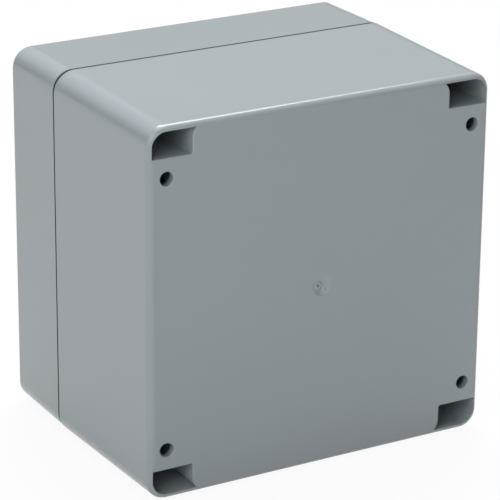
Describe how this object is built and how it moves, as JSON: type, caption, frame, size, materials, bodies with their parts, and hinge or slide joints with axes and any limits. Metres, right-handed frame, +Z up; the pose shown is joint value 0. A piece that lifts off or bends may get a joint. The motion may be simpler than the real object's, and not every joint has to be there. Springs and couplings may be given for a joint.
{
  "type": "plastic project box",
  "caption": "Square moulded project box with a deep sealed lid on captive corner screws, wall screw holes outside the seal, and cored pockets in the corners of its back.",
  "frame": {"origin": "under the middle of the box as it stands on one of its sides, at the level of its lowest rim", "axes": "+Y out of the back plate, towards the wall it is screwed to; -Y out of the lid; +Z up"},
  "size_m": [0.12, 0.09, 0.12],
  "materials": {
    "housing_plastic": "satin, blue-grey, finely textured",
    "gasket_rubber": "matt black",
    "insert_brass": "turned",
    "retainer_plastic": "natural, translucent white",
    "screw_steel": "passivated stainless steel"
  },
  "bodies": {
    "base": {"base_shell": "housing_plastic", "threaded_inserts": "insert_brass"},
    "lid": {"lid_shell": "housing_plastic", "lid_gasket": "gasket_rubber", "screw_retainers": "retainer_plastic"},
    "upper_right_screw": {"lid_screw_upper_right": "screw_steel"},
    "lower_right_screw": {"lid_screw_lower_right": "screw_steel"},
    "upper_left_screw": {"lid_screw_upper_left": "screw_steel"},
    "lower_left_screw": {"lid_screw_lower_left": "screw_steel"}
  },
  "joints": [
    {"name": "lid_lift", "type": "slide", "parent": "base", "child": "lid", "axis": [0, -1, 0], "range_m": [0, 0.06]},
    {"name": "upper_right_screw_turn", "type": "hinge", "parent": "lid", "child": "upper_right_screw", "pos_m": [0.0511, -0.039, 0.1134], "axis": [0, -1, 0], "continuous": true},
    {"name": "lower_right_screw_turn", "type": "hinge", "parent": "lid", "child": "lower_right_screw", "pos_m": [0.0511, -0.039, 0.0066], "axis": [0, -1, 0], "continuous": true},
    {"name": "upper_left_screw_turn", "type": "hinge", "parent": "lid", "child": "upper_left_screw", "pos_m": [-0.0511, -0.039, 0.1134], "axis": [0, -1, 0], "continuous": true},
    {"name": "lower_left_screw_turn", "type": "hinge", "parent": "lid", "child": "lower_left_screw", "pos_m": [-0.0511, -0.039, 0.0066], "axis": [0, -1, 0], "continuous": true}
  ]
}
